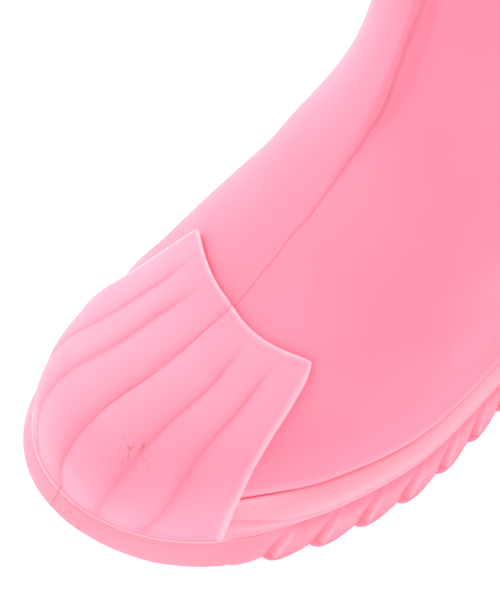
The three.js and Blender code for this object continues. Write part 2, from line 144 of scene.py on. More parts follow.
def sections(coneSteps, fanSteps, shaftSteps, top=shellEdge):
    up, forward = np.array([0, 0, 1.0]), np.array([0, -1.0, 0])
    rows = [(toeCentre, up, math.radians(tip)) for tip in np.linspace(88.8, 0, coneSteps)]
    underPivot = np.array([0, fanPivot[1], toeCentre[2]])
    flat = max(2, coneSteps // 3)
    rows += [(toeCentre + (underPivot - toeCentre) * i / flat, up, 0) for i in range(1, flat)]
    shaftMiddle = shaftCentre(0.6 * last["height"])[1]
    for share in np.linspace(0, 1, fanSteps):
        out = np.array([0, math.sin(math.pi / 2 * share), -math.cos(math.pi / 2 * share)])
        reach = (fanPivot[2] - toeCentre[2]) * (1 - share) + (shaftMiddle - fanPivot[1]) * share
        rows.append((fanPivot + out * reach, -out, 0))
    rows += [(shaftCentre(z), forward, 0) for z in np.linspace(fanPivot[2], top, shaftSteps + 1)[1:]]
    return rows


def rings(rows, columns, offset):
    starts, ups = (np.array([row[k] for row in rows])[:, None, :] for k in (0, 1))
    tip = np.array([row[2] for row in rows])[:, None, None]
    turns = 2 * math.pi * (np.arange(columns) + 0.5) / columns
    flat = np.array([-1.0, 0, 0]) * np.cos(turns)[None, :, None] + ups * np.sin(turns)[None, :, None]
    return cast(starts, flat * np.cos(tip) + np.array([0, -1.0, 0]) * np.sin(tip), offset)


# ---------- the outline at the widest level, and how far the sole stands out from it ----------
def traceOutline(count=2880):
    turn = 2 * math.pi * np.arange(count) / count
    side = np.minimum(turn, 2 * math.pi - turn)
    share = ease(0.7, 2.44, side)
    y = (toeY + 46) * (1 - share) + (heelY - 40) * share
    start = np.stack([0 * y, y, 0 * y + last["widest"]], 1)
    ring = cast(start, np.stack([np.sin(turn), -np.cos(turn), 0 * turn], 1), 0.0)[:, :2]
    steps = np.linalg.norm(np.roll(ring, -1, 0) - ring, axis=1)
    ring = np.vstack([ring, ring[:1]])
    return np.concatenate([[0], np.cumsum(steps)]), ring


outlineRun, outlineRing = traceOutline()
outlineLength = outlineRun[-1]
flare = smoothLine([  # mm, against the signed share of the way round from the toe tip
    (-.5, 0), (-.3, -.3), (-.165, -.8), (-.1, -.2), (-.07, 1.2), (-.045, 3), (-.025, 3.7), (-.01, 3.5),
    (.005, 2.4), (.018, 1), (.033, .5), (.05, 1.3), (.066, 2.4), (.08, 3.2), (.1, 3.8), (.125, 3.3), (.165, 1.6),
    (.2, .3), (.25, 0), (.5, 0)])


def signedShare(share):
    return np.mod(share + 0.5, 1) - 0.5


def sideShare(share):
    return np.abs(signedShare(share))


def onOutline(share):
    run = np.mod(share, 1) * outlineLength
    return np.stack([np.interp(run, outlineRun, outlineRing[:, k]) for k in (0, 1)], -1)


def rim(share, out, z):  # out counts from the upper, and the sole's flare adds to it
    share, out, z = np.broadcast_arrays(*(np.asarray(value, float) for value in (share, out, z)))
    e = 1.5 / outlineLength
    along = onOutline(share + e) - onOutline(share - e)
    along /= np.linalg.norm(along, axis=-1, keepdims=True)
    far = out + flare(signedShare(share)) * ease(1, 4, out)
    ring = onOutline(share)
    return np.stack([ring[..., 0] + along[..., 1] * far, ring[..., 1] - along[..., 0] * far, z], -1)


def shareAt(behind, inner=False):
    shares = np.linspace(0, 0.5, 4000)
    y = onOutline(1 - shares if inner else shares)[:, 1]
    share = float(np.interp(behind + toeY, y, shares))
    return 1 - share if inner else share


# ---------- meshes ----------
def makeMesh(name, points, faces, material, values=None, merge=0.02):
    mesh = bpy.data.meshes.new(name)
    mesh.from_pydata(((points.reshape(-1, 3) + place) * mm).tolist(), [], faces)
    for key, field in (values or {}).items():
        layer = mesh.attributes.new(key, "FLOAT", "POINT")
        layer.data.foreach_set("value", np.asarray(field, np.float32).ravel())
    bm = bmesh.new()
    bm.from_mesh(mesh)
    bmesh.ops.remove_doubles(bm, verts=bm.verts, dist=merge * mm)
    bmesh.ops.dissolve_degenerate(bm, edges=bm.edges, dist=1e-7)
    bmesh.ops.recalc_face_normals(bm, faces=bm.faces)
    bm.to_mesh(mesh)
    bm.free()
    mesh.polygons.foreach_set("use_smooth", [True] * len(mesh.polygons))
    mesh.materials.append(material)
    piece = bpy.data.objects.new(name, mesh)
    bpy.context.scene.collection.objects.link(piece)
    return piece


def gridFaces(rows, columns, wrap=False):  # wrap joins the last column to the first
    j, i = np.meshgrid(np.arange(rows - 1), np.arange(columns if wrap else columns - 1), indexing="ij")
    here, below, beside = j * columns, (j + 1) * columns, (i + 1) % columns
    return np.stack([here + i, here + beside, below + beside, below + i], -1).reshape(-1, 4).tolist()


def tubeFaces(rows, columns):  # rings in a row, the two end rings filled
    ends = [list(range(columns))[::-1], list(range((rows - 1) * columns, rows * columns))]
    return gridFaces(rows, columns, wrap=True) + ends


def padFaces(rows, columns):  # two equal grids, one over the other, joined all round their border
    under = rows * columns
    grid = gridFaces(rows, columns)
    border = [j * columns for j in range(rows)] + [(rows - 1) * columns + i for i in range(1, columns)]
    border += [j * columns + columns - 1 for j in range(rows - 2, -1, -1)] + list(range(columns - 2, 0, -1))
    sides = [[p, q, q + under, p + under] for p, q in zip(border, border[1:] + border[:1])]
    return grid + [[i + under for i in face] for face in grid] + sides


def tube(name, points, material, values=None):
    return makeMesh(name, points, tubeFaces(*points.shape[:2]), material, values)


def waviness(p, size, amount):  # a slow unevenness, as hand-finished rubber has
    x, y, z = (p[..., k] / size for k in range(3))
    return amount * (np.sin(x + 1.7 * y + 0.6) + np.sin(1.3 * z - y + 2) + np.sin(0.9 * x - 1.1 * z + 4)) / 3


# ---------- materials ----------
def newMaterial(name):
    material = bpy.data.materials.new(name)
    material.use_nodes = True
    tree = material.node_tree
    tree.nodes.clear()
    shader = node(tree, "ShaderNodeBsdfPrincipled")
    output = node(tree, "ShaderNodeOutputMaterial", Surface=shader.outputs["BSDF"])
    output.location = (300, 0)
    return material, tree, shader


def connect(tree, made, **inputs):  # i0, i1 ... are sockets by number, the others by name
    for key, value in inputs.items():
        socket = made.inputs[int(key[1:]) if key[1:].isdigit() else key.replace("_", " ")]
        if isinstance(value, bpy.types.NodeSocket):
            tree.links.new(value, socket)
        else:
            socket.default_value = value


def node(tree, kind, settings=None, **inputs):
    made = tree.nodes.new(kind)
    for key, value in (settings or {}).items():
        setattr(made, key, value)
    connect(tree, made, **inputs)
    return made


def objectPoint(tree):
    return node(tree, "ShaderNodeTexCoord").outputs["Object"]


def calculate(tree, operation, a, b=0.0, c=0.0):
    return node(tree, "ShaderNodeMath", {"operation": operation}, i0=a, i1=b, i2=c).outputs[0]


def times(tree, a, b):
    return calculate(tree, "MULTIPLY", a, b)


def spread(tree, value, low, high, toLow=0.0, toHigh=1.0):
    return node(tree, "ShaderNodeMapRange", {"interpolation_type": "SMOOTHSTEP"}, Value=value, From_Min=low,
                From_Max=high, To_Min=toLow, To_Max=toHigh).outputs[0]


def noise(tree, point, size, detail=2.0, rough=0.5):  # size in millimetres
    return node(tree, "ShaderNodeTexNoise", Vector=point, Scale=1000 / size, Detail=detail,
                Roughness=rough).outputs["Fac"]


def blendColour(tree, share, a, b):
    return node(tree, "ShaderNodeMix", {"data_type": "RGBA"}, i0=share, i6=a, i7=b).outputs[2]


def bump(tree, height, depth, normal=None):  # depth in millimetres
    made = node(tree, "ShaderNodeBump", Height=height, Strength=1.0, Distance=depth * mm)
    if normal:
        connect(tree, made, Normal=normal)
    return made.outputs["Normal"]


pinkRubber = {
    "colour": "#fb86a0",  # rubber as moulded
    "pale": "#fc8da9",  # bloom on the open faces
    "deep": "#fa6f8d",  # painted shade: laid into creases, grooves and recesses, and a painted darker tone up the shaft
    "dirt": "#a2604f",  # dried soil
    "roughness": 0.52,
    "grain": 0.35,  # mm between the mould's fine grains
    "grainDepth": 0.012,
    "partingWidth": 0.45,  # mm, the mould line down the front
    "soil": 0.0,
    "spots": [((11.3, -120.5, 49), 8), ((2.3, -142.5, 10), 10)],  # dried soil: middle and radius, mm
}


def nearSpot(tree, point, middle, radius):  # 1 around a place on the boot, fading to 0 at the radius
    away = node(tree, "ShaderNodeVectorMath", {"operation": "DISTANCE"}, i0=point, i1=[c * mm for c in middle])
    return spread(tree, away.outputs["Value"], 0.3 * radius * mm, radius * mm, 1, 0)


def rubberMaterial(name, look):
    material, tree, shader = newMaterial(name)
    point = objectPoint(tree)
    xyz = node(tree, "ShaderNodeSeparateXYZ", Vector=point).outputs
    deep, paintedHighlight, seam = (toLinear(code) for code in (look["deep"], "#ffd0de", "#e06a86"))
    slow = noise(tree, point, 60, 3)
    cloud = spread(tree, slow, 0.3, 0.75)
    colour = blendColour(tree, cloud, toLinear(look["colour"]), toLinear(look["pale"]))
    crease, edge = (node(tree, "ShaderNodeAttribute", {"attribute_name": name}).outputs["Fac"]
                    for name in ("crease", "edge"))
    # painted shade: the crease attribute mixes in the deep colour where shade falls
    colour = blendColour(tree, times(tree, crease, 0.75), colour, deep)
    # painted highlight: the edge attribute mixes in a pale pink on raised edges, beads, crests and the ledge
    colour = blendColour(tree, times(tree, edge, 0.5), colour, paintedHighlight)
    wobble = times(tree, calculate(tree, "SUBTRACT", noise(tree, point, 26, 2), 0.5), 3.5 * mm)
    sideways = calculate(tree, "SUBTRACT", xyz["X"], (place[0] + 0.3) * mm)
    away = calculate(tree, "ABSOLUTE", calculate(tree, "ADD", sideways, wobble))
    width = look["partingWidth"] * mm
    line = spread(tree, away, width * 0.3, width, 1, 0)
    line = times(tree, line, spread(tree, xyz["Y"], -20 * mm, 10 * mm, 1, 0))  # on the front only
    colour = blendColour(tree, times(tree, line, 0.6), colour, seam)
    specks = spread(tree, noise(tree, point, 2.4, 3, 0.6), 0.71, 0.78)
    patches = spread(tree, noise(tree, point, 22, 2), 0.55, 0.72)
    soil = times(tree, times(tree, specks, patches), 0.35 + look["soil"])
    colour = blendColour(tree, soil, colour, toLinear(look["dirt"]))
    flecks = spread(tree, noise(tree, point, 1.7, 3, 0.6), 0.55, 0.64)
    for middle, radius in look["spots"]:
        patch = times(tree, flecks, nearSpot(tree, point, middle, radius))
        colour = blendColour(tree, times(tree, patch, 0.55), colour, toLinear(look["dirt"]))
    normal = bump(tree, noise(tree, point, look["grain"], 2, 0.7), look["grainDepth"])
    normal = bump(tree, noise(tree, point, 6, 2), 0.03, normal)
    normal = bump(tree, line, 0.12, normal)
    rough = calculate(tree, "ADD", look["roughness"], times(tree, slow, 0.12))
    connect(tree, shader, Base_Color=colour, Roughness=rough, Normal=normal, IOR=1.52)
    connect(tree, shader, Subsurface_Weight=0.12, Subsurface_Radius=(1.0, 0.35, 0.4), Subsurface_Scale=0.004)
    return material


def plainMaterial(name, colours, size, roughness, depth, metal=0.0, stretch=(1, 1, 1), ior=1.5):
    material, tree, shader = newMaterial(name)
    point = node(tree, "ShaderNodeMapping", Vector=objectPoint(tree), Scale=stretch).outputs[0]
    grain = noise(tree, point, size, 5, 0.65)
    colour = blendColour(tree, spread(tree, grain, 0.3, 0.7), toLinear(colours[0]), toLinear(colours[1]))
    connect(tree, shader, Base_Color=colour, Metallic=metal, IOR=ior, Normal=bump(tree, grain, depth))
    rough = spread(tree, noise(tree, point, size * 4), 0.3, 0.7, roughness - 0.06, roughness + 0.06)
    connect(tree, shader, Roughness=rough)
    return material


knitLook = {"pitch": 1.1, "light": "#f8f1f2", "dark": "#d9cdd2"}  # mm between wales


def knitMaterial(name, look):
    material, tree, shader = newMaterial(name)
    wales = node(tree, "ShaderNodeAttribute", {"attribute_name": "wale"}).outputs["Fac"]
    courses = node(tree, "ShaderNodeAttribute", {"attribute_name": "course"}).outputs["Fac"]
    across = calculate(tree, "SINE", times(tree, wales, math.pi / look["pitch"]))
    lean = times(tree, calculate(tree, "ABSOLUTE", across), 0.8)
    along = times(tree, calculate(tree, "ADD", courses, lean), 2 * math.pi / (look["pitch"] * 0.8))
    loops = calculate(tree, "ADD", times(tree, calculate(tree, "SINE", along), 0.5), 0.5)
    rib = times(tree, loops, calculate(tree, "ADD", lean, 0.3))
    fuzz = times(tree, noise(tree, objectPoint(tree), 0.5, 4, 0.7), 0.4)
    height = calculate(tree, "ADD", rib, fuzz)
    # tone partly from the fuzz noise, and partly painted shade: darker in the low parts of the loops
    share = spread(tree, height, 0.2, 1.1)
    colour = blendColour(tree, share, toLinear(look["dark"]), toLinear(look["light"]))
    normal = bump(tree, height, 0.25)
    connect(tree, shader, Base_Color=colour, Roughness=0.95, Normal=normal, Sheen_Weight=0.3)
    return material


upperRubber = rubberMaterial("mattePinkNaturalRubber", pinkRubber)
capLook = {**pinkRubber, "colour": "#fc90aa", "pale": "#fd9ab4"}
soleLook = {**pinkRubber, "colour": "#fc8fa5", "pale": "#fd9ab0", "soil": 0.4}
capRubber = rubberMaterial("mouldedPinkCapRubber", capLook)
soleRubber = rubberMaterial("mouldedPinkSoleRubber", soleLook)
liningKnit = knitMaterial("brushedCottonKnit", knitLook)
print("form, mesh and material tools ready")

# ---------- camera ----------
view = {"turn": 53.9, "rise": 61.4, "away": 0.4084, "target": (-14.37, -60.73, 40.0), "lens": 76.3}


def addCamera():
    turn, rise = math.radians(view["turn"]), math.radians(view["rise"])
    target = Vector(view["target"]) * mm
    back = Vector((math.sin(turn) * math.cos(rise), -math.cos(turn) * math.cos(rise), math.sin(rise)))
    lens = bpy.data.cameras.new("camera")
    lens.sensor_fit = "VERTICAL"
    lens.sensor_height = 36
    lens.lens = view["lens"]
    lens.clip_start = 0.01
    camera = bpy.data.objects.new("camera", lens)
    bpy.context.scene.collection.objects.link(camera)
    camera.location = target + back * view["away"]
    camera.rotation_euler = back.to_track_quat("Z", "Y").to_euler()
    bpy.context.scene.camera = camera


addCamera()

# ---------- upper ----------
upper = {"wall": 2.4, "sole": 14, "flare": 1.8, "capFoot": 25}


def upperOut(p):
    y, z = p[..., 1], p[..., 2]
    behindCap = ease(toeY + upper["capFoot"] + 4, toeY + upper["capFoot"] + 34, y)
    skirt = upper["flare"] * (1 - ease(31.2, 44, z)) * ease(29.8, 30.9, z) * behindCap
    return skirt + waviness(p, 17, 0.16) * ease(32, 50, z)


def buildShell():
    outer = rings(sections(54, 120, 52), 320, upperOut)
    inner = rings(sections(14, 24, 8), 320, -upper["wall"])[::-1]
    outer[..., 2] = np.maximum(outer[..., 2], upper["sole"])
    inner[..., 2] = np.maximum(inner[..., 2], upper["sole"] + upper["wall"])
    points = np.concatenate([outer, inner])
    z = points[..., 2]
    # painted shade below the groove under the skirt and up the shaft; also darker in a faint band 40 to 60 mm up
    crease = (1 - ease(30.2, 31.4, z)) + 0.25 * ease(40, 46, z) * (1 - ease(46, 60, z))
    crease += 0.5 * ease(95, 170, z)  # painted shade: the shaft is painted a deeper tone
    # painted highlight: a paler band on the skirt just above the groove
    edge = 0.5 * ease(30.6, 31.4, z) * (1 - ease(31.8, 36, z))
    return tube("bootShell", points, upperRubber, {"crease": crease, "edge": edge})


shell = buildShell()
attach(shell, "boot")
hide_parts("boot_shell")
print("upper built")

# ---------- rolled binding at the top edge ----------
bindingSize = {
    "Apron width": 2.7, "Apron height": 13.7, "Apron rounding": 0.8, "Apron out": 0.55, "Apron down": 8.85,
    "Crown width": 7.2, "Crown height": 3.6, "Crown rounding": 1.75, "Crown out": -1.7, "Crown down": 1.8,
}


def bindingTree():  # two rounded bars swept round the rim, an apron outside the wall and a crown over it
    tree = bpy.data.node_groups.new("rolledBinding", "GeometryNodeTree")
    tree.interface.new_socket("Rim", in_out="INPUT", socket_type="NodeSocketGeometry")
    for name in bindingSize:
        tree.interface.new_socket(name, in_out="INPUT", socket_type="NodeSocketFloat")
    tree.interface.new_socket("Material", in_out="INPUT", socket_type="NodeSocketMaterial")
    tree.interface.new_socket("Binding", in_out="OUTPUT", socket_type="NodeSocketGeometry")
    given = node(tree, "NodeGroupInput").outputs
    path = node(tree, "GeometryNodeMeshToCurve", Mesh=given["Rim"]).outputs[0]
    path = node(tree, "GeometryNodeSetCurveNormal", {"mode": "Z_UP"}, Curve=path).outputs[0]
    joined = node(tree, "GeometryNodeJoinGeometry")
    for part in ("Crown", "Apron"):
        bar = node(tree, "GeometryNodeCurvePrimitiveQuadrilateral", Width=given[part + " width"],
                   Height=given[part + " height"])
        bar = node(tree, "GeometryNodeFilletCurve", {"mode": "POLY"}, Curve=bar.outputs[0], Count=8,
                   Radius=given[part + " rounding"])
        spot = node(tree, "ShaderNodeCombineXYZ", X=given[part + " out"], Y=given[part + " down"])
        bar = node(tree, "GeometryNodeTransform", Geometry=bar.outputs[0], Translation=spot.outputs[0])
        swept = node(tree, "GeometryNodeCurveToMesh", Curve=path, Profile_Curve=bar.outputs[0])
        tree.links.new(swept.outputs[0], joined.inputs[0])
    whole = node(tree, "GeometryNodeRealizeInstances", Geometry=joined.outputs[0])
    painted = node(tree, "GeometryNodeSetMaterial", Geometry=whole.outputs[0], Material=given["Material"])
    node(tree, "NodeGroupOutput", Binding=painted.outputs[0])
    return tree


def buildBinding():
    count = 300
    rimLine = rings([(shaftCentre(shellEdge), np.array([0, -1.0, 0]), 0)], count, 0.0)[0]
    rimLine[:, 2] = last["height"]
    if np.cross(rimLine[0, :2] - rimLine.mean(0)[:2], rimLine[1, :2] - rimLine[0, :2]) < 0:
        rimLine = rimLine[::-1]
    path = bpy.data.meshes.new("rimPath")
    path.from_pydata(((rimLine + place) * mm).tolist(), [(i, (i + 1) % count) for i in range(count)], [])
    holder = bpy.data.objects.new("rimPath", path)
    bpy.context.scene.collection.objects.link(holder)
    tree = bindingTree()
    sweep = holder.modifiers.new("sweep", "NODES")
    sweep.node_group = tree
    inputs = {item.name: item.identifier for item in tree.interface.items_tree if item.in_out == "INPUT"}
    for name, value in bindingSize.items():
        sweep[inputs[name]] = value * mm
    sweep[inputs["Material"]] = upperRubber
    swept = bpy.data.meshes.new_from_object(holder.evaluated_get(bpy.context.evaluated_depsgraph_get()))
    holder.modifiers.remove(sweep)
    bpy.data.objects.remove(holder)
    points = np.array([v.co for v in swept.vertices]) / mm - place
    # painted highlight: paler along the top of the rolled rim
    edge = 0.6 * ease(last["height"] - 1.6, last["height"] - 0.6, points[:, 2])
    faces = [list(p.vertices) for p in swept.polygons]
    return makeMesh("rimBinding", points, faces, upperRubber, {"edge": edge})


binding = buildBinding()
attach(binding, "boot")
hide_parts("rim_binding")
print("binding built")

# ---------- toe cap ----------
cap = {
    "back": 61, "corner": 68, "outer": 29, "inner": 27, "foot": 25, "seat": 29,  # mm behind or beside the toe
    "bead": 0.4, "relief": 0.5, "creaseWidth": 0.028, "panelCrown": 0.38,
}
capEdge = smoothLine([(0, 1), (.1, 1.02), (.24, .98), (.39, .91), (.52, .87), (.62, .88), (.73, .95), (.9, 1),
                      (1, 1)])
capThick = smoothLine([(0, 1.5), (.3, 1.9), (.44, 2.4), (.52, 3.1), (.6, 3.7), (1, 3.9)])
creases = [smoothLine([(0, .38), (.1, .37), (.33, .34), (.45, .28), (.6, .25), (1, .27)]),
           smoothLine([(0, .75), (.12, .69), (.34, .6), (.5, .51), (.6, .5), (1, .55)])]
bumperTop = 17


def capShare(a, foot):
    return np.where(a > 0, shareAt(foot) * a, (1 - shareAt(foot, True)) * a)


def capRays(a, b):
    start = np.array([0, toeY + 51, last["widest"] - 3])
    half = np.where(a > 0, cap["outer"], cap["inner"])
    y = toeY + cap["back"] + (cap["corner"] - cap["back"]) * np.abs(a) ** 1.3
    back = np.stack([half * a, y, 0 * a + last["widest"] + 37], -1)
    front = rim(capShare(a, cap["foot"]), 0, bumperTop - 4)
    direction = (back - start) * (1 - b)[..., None] + (front - start) * b[..., None]
    return start + 0 * direction, direction / np.linalg.norm(direction, axis=-1, keepdims=True)


def panelRelief(a, b):  # six convex panels between sharp creases: depth of the crease, and the panel's crown
    edges = [0 * b] + [crease(b) for crease in creases] + [capEdge(b) + 0.02]
    side = np.abs(a)
    nearest = np.min([np.abs(side - edge) for edge in edges[:3]], 0)
    valley = np.exp(-nearest / cap["creaseWidth"])
    crown = 0 * side
    for low, high in zip(edges, edges[1:]):
        arch = np.sin(np.pi * np.clip((side - low) / (high - low), 0, 1))
        crown = np.where((side >= low) & (side < high), arch, crown)
    return valley, crown


def buildCap():
    across, down = 280, 150
    v, u = np.meshgrid(np.linspace(0, 1, down), np.linspace(-1, 1, across), indexing="ij")
    b = v + np.where(u > 0, 0.045, 0.025) * np.sin(np.pi * np.abs(u)) * (1 - v) ** 3  # rear edge in two arcs
    a = u * capEdge(b)
    start, direction = capRays(a, b)
    fade = ease(0.05, 0.3, b)
    valley, crown = panelRelief(a, b)
    middle = np.exp(-(np.abs(a) / 0.1) ** 2)
    fade = np.maximum(fade, 0.6 * middle)
    fromBack, fromSide = v * 62, (1 - np.abs(u)) * 29 * capEdge(b)
    bead = np.maximum(np.exp(-((fromBack - 1.0) / 0.75) ** 2), np.exp(-((fromSide - 1.0) / 0.75) ** 2))
    bead *= 1 - ease(0.93, 1, v)
    corner = np.maximum(0, 3 - fromBack) * np.maximum(0, 3 - fromSide) / 9
    nearEdge = np.minimum(fromBack, fromSide) - corner
    rounded = 1 - np.sqrt(np.clip(1 - (1 - np.clip(nearEdge / 0.9, 0, 1)) ** 2, 0, 1))
    low = 1 - ease(0.72, 0.88, b)
    relief = (cap["panelCrown"] * crown - cap["relief"] * valley) * fade * low
    out = capThick(b) + cap["bead"] * bead + relief - (capThick(b) + 0.3) * rounded
    top = cast(start, direction, out, 120)
    seat = rim(capShare(a / capEdge(b), cap["seat"]), 4.7, bumperTop + 0.25)  # where the cap's front ends
    steer = ease(0.5, 0.9, b)[..., None]
    reach = np.linalg.norm(seat - start, axis=-1)
    flatReach = np.linalg.norm(top - start, axis=-1)
    toSeat = (seat - start) / reach[..., None]
    blended = direction * (1 - steer) + toSeat * steer
    blended /= np.linalg.norm(blended, axis=-1, keepdims=True)
    frontReach = reach + relief + cap["bead"] * bead - 1.6 * rounded
    length = flatReach * (1 - steer[..., 0]) + frontReach * steer[..., 0]
    top = np.where((b < 0.5)[..., None], top, start + blended * length[..., None])
    under = np.where((b > 0.8)[..., None], start + (top - start) * 0.9, cast(start, direction, -0.6, 120))
    # painted shade in the panel creases, and painted highlight on the raised beads along the rear and side edges
    deep = valley * fade * low
    tone = {"crease": np.concatenate([0.75 * deep, deep]), "edge": np.concatenate([bead, 0 * bead])}
    return makeMesh("toeCap", np.concatenate([top, under]), padFaces(down, across), capRubber, tone)


toeCap = buildCap()
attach(toeCap, "boot")
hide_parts("toe_cap")
print("toe cap built")

# ---------- sole: bumper, rand, wall and tread ----------
sole = {
    "bumperOut": 5, "bumperSlope": 4.7, "bumperEnd": 29.5, "ledgeOut": 5.6, "wallOut": 4.4, "skirt": 3.4,
    "lobeOut": 1.7, "lobeGroove": 0.8, "lobePitch": 15, "lobeLean": 0.62, "lobeTop": 17.5, "lobeLength": 11,
    "tread": 4, "spring": 5, "springStart": 48, "barStart": 0.05, "barEnd": 0.8,  # bars as shares of a lobe
}
lobeCount = 2 * round(outlineLength / sole["lobePitch"] / 2)
bumperEnds = (shareAt(sole["bumperEnd"]), shareAt(sole["bumperEnd"], True) - 1)


def toeRise(y):
    return sole["spring"] * (np.maximum(0, toeY + sole["springStart"] - y) / sole["springStart"]) ** 2


def pastBumper(share, length):  # 0 at the bumper's ends, 1 that many mm behind them
    side = signedShare(share)
    near = np.maximum(side - bumperEnds[0], bumperEnds[1] - side) * outlineLength
    return ease(0, length, near)


def bumperFace(z):
    t = np.clip((z - sole["tread"] - 1.2) / (bumperTop - sole["tread"] - 2.6), 0, 1)
    foot = 1.3 * (1 - ease(0, 2.5, z - sole["tread"])) ** 2
    return sole["bumperOut"] + sole["bumperSlope"] * (1 - t) ** 0.8 + 0.5 * np.sin(np.pi * t) - foot


def bumperShape(points):
    base = sole["tread"] + 0.3
    low = np.maximum(base, toeRise(points[..., 1]) + 0.2)
    points[..., 2] = low + (points[..., 2] - base) * (bumperTop - low) / (bumperTop - base)
    return points


def buildBumper():
    o, top, floor = sole["bumperOut"], bumperTop, sole["tread"] + 0.3
    heights = np.linspace(floor, top - 1.4, 24)
    profile = [(-8, floor), (0, floor)] + [(float(bumperFace(z)), z) for z in heights]
    bead = [(o + 0.1, top - 1), (o + 0.3, top - 0.6), (o + 0.3, top - 0.25), (o + 0.05, top),
            (o - 0.35, top + 0.1), (o - 0.75, top - 0.02)]
    profile += bead + [(o - 1.3, top - 0.6), (-8, top - 0.8)]
    # painted highlight on the top bead; painted shade where the bead tucks under the cap and along the inner
    # floor
    edge = [0.0] * 26 + [0.4, 0.8, 1.0, 1.0, 0.8, 0.3, 0.0, 0.0]
    crease = [1.0, 1.0] + [0.0] * 28 + [0.2, 0.5, 1.0, 1.0]
    out, z = np.array(profile).T
    shares = np.linspace(bumperEnds[1], bumperEnds[0], 420)
    s, o = np.meshgrid(shares, out, indexing="ij")
    near = np.minimum(bumperEnds[0] - s, s - bumperEnds[1]) * outlineLength
    o = o - np.where(o > 0, 0.45 * (1 - ease(0, 3, near)), 0)
    points = bumperShape(rim(s, o, np.broadcast_to(z, s.shape)))
    tone = {"edge": np.broadcast_to(edge, s.shape), "crease": np.broadcast_to(crease, s.shape)}
    return tube("toeBumper", points, soleRubber, tone)


def buildRand():
    o = sole["ledgeOut"]
    turn = np.linspace(0.3, 2.0, 14)
    full = [(-8, 20.3), (o - 2.6, 20.3), (o - 1.5, 20.5)]
    full += [(o - 1.7 + 1.7 * math.sin(t), 24.2 - 2.5 * math.cos(t)) for t in turn]
    x, z = full[-1]
    full += [(x + (1.2 - x) * t, z + (29.6 - z) * t + 0.7 * math.sin(math.pi * t))
             for t in np.linspace(0, 1, 12)[1:]]
    full += [(0.9, 29.7), (0.5, 29.3), (0, 28.6), (-8, 28.3)]
    flow = [(-8, 17.1), (4.0, 17.1), (4.8, 17.1)]  # where it runs out of the bumper's top
    reach = np.linspace(0, 1, 26)[1:]
    flow += [(4.85 - 4.4 * t ** 1.2, 17.15 + 12.4 * t) for t in reach]
    flow += [(0.2, 29.7), (-0.2, 29.3), (-0.5, 28.6), (-8, 28.3)]
    # painted highlight on the ledge's roll and the flare above it; painted shade under the ledge and in the
    # groove where it meets the upper
    edge = [0, 0, 0] + [0.45 * math.exp(-((t - 1.4) / 0.5) ** 2) for t in turn]
    edge += [0.8] * 9 + [0.5, 0, 0, 0, 0, 0]
    crease = [1, 1, 0.6] + [0.0] * 14 + [0.0] * 9 + [0.3, 0.7, 0.8, 0.8, 0.8, 0.8]
    shares = np.concatenate([np.linspace(shareAt(22), 0.16, 260), np.linspace(0.16, 0.84, 620)[1:-1],
                             np.linspace(0.84, shareAt(22, True), 260)])
    s = np.repeat(shares[:, None], len(full), 1)
    grown = pastBumper(s, 34)
    profile = np.array(flow)[None] * (1 - grown)[..., None] + np.array(full)[None] * grown[..., None]
    points = rim(s, profile[..., 0], profile[..., 1])
    tone = {"edge": np.broadcast_to(edge, s.shape), "crease": np.array(crease) * (0.3 + 0.7 * grown)}
    return tube("sideRand", points, soleRubber, tone)


def lobeAt(phase, z):
    taper = np.clip(1 - (z / sole["lobeTop"]) ** 2, 0, 1) ** 0.8
    body = np.cos(phase * math.pi / 2) ** 1.1 * ease(0, 0.14, phase)
    arch = 0.7 * np.sin(math.pi * phase ** 0.7) * (1 - ease(2, 9, z))
    groove = np.exp(-((1 - phase) / 0.12) ** 2) + np.exp(-(phase / 0.03) ** 2)
    crest = np.exp(-((phase - 0.13) / 0.05) ** 2)
    deep = sole["lobeGroove"] * ease(3, 8, z)
    return taper * (sole["lobeOut"] * body + arch - deep * groove), taper * crest, taper * groove


def wallShares(share, z):
    side = sideShare(share)
    lean = sole["lobeLean"] * z / outlineLength * (1 - ease(0.455, 0.5, side)) * ease(0.07, 0.1, side)
    return share + np.where(signedShare(share) > 0, lean, -lean)


def wallPoints(share, z):  # share before it leans
    phase = np.mod(sideShare(share) * lobeCount, 1)
    lobe, crest, groove = lobeAt(phase, z)
    grown = pastBumper(share, sole["lobeLength"])
    base = sole["wallOut"] - 0.8 * ease(13, 19, z) + sole["skirt"] * np.clip(1 - z / 17, 0, 1) ** 0.9
    foot = 2.4 * (1 - ease(-0.5, 5, z)) ** 2
    out = bumperFace(np.maximum(z, 4.4)) * (1 - grown) + (base + lobe) * grown - foot
    side = signedShare(share)
    inside = np.minimum(bumperEnds[0] - side, side - bumperEnds[1]) * outlineLength
    out = out - 0.45 * ease(0, 3, inside)  # the two meet flush where the bumper ends
    out = np.where((inside > 5) & (z > sole["tread"]), -8.3, out)
    return rim(wallShares(share, z), out, z), out, crest * grown, groove * grown


def buildWall():
    shares = (np.arange(lobeCount * 52) + 0.5) / (lobeCount * 52)
    heights = np.concatenate([[sole["tread"] + 0.01], np.linspace(sole["tread"] + 0.5, 19.4, 21), [20.2]])
    z, s = np.meshgrid(heights, shares, indexing="ij")
    points, _, crest, groove = wallPoints(s, z)
    front = np.where(z > 16, 16 + (z - 16) * 1.05 / 4.2, z)
    grown = pastBumper(s, 34)
    points[..., 2] = np.where(z > 16, front * (1 - grown) + z * grown, z)
    # painted shade under the ledge, in the lobe grooves and at the foot; painted highlight on the lobe crests
    crease = np.clip(0.9 * ease(11, 18, z) * grown + 0.7 * groove + 0.5 * (1 - ease(4, 6.5, z)), 0, 1)
    return tube("outsoleWall", points, soleRubber, {"crease": crease, "edge": 0.8 * crest})


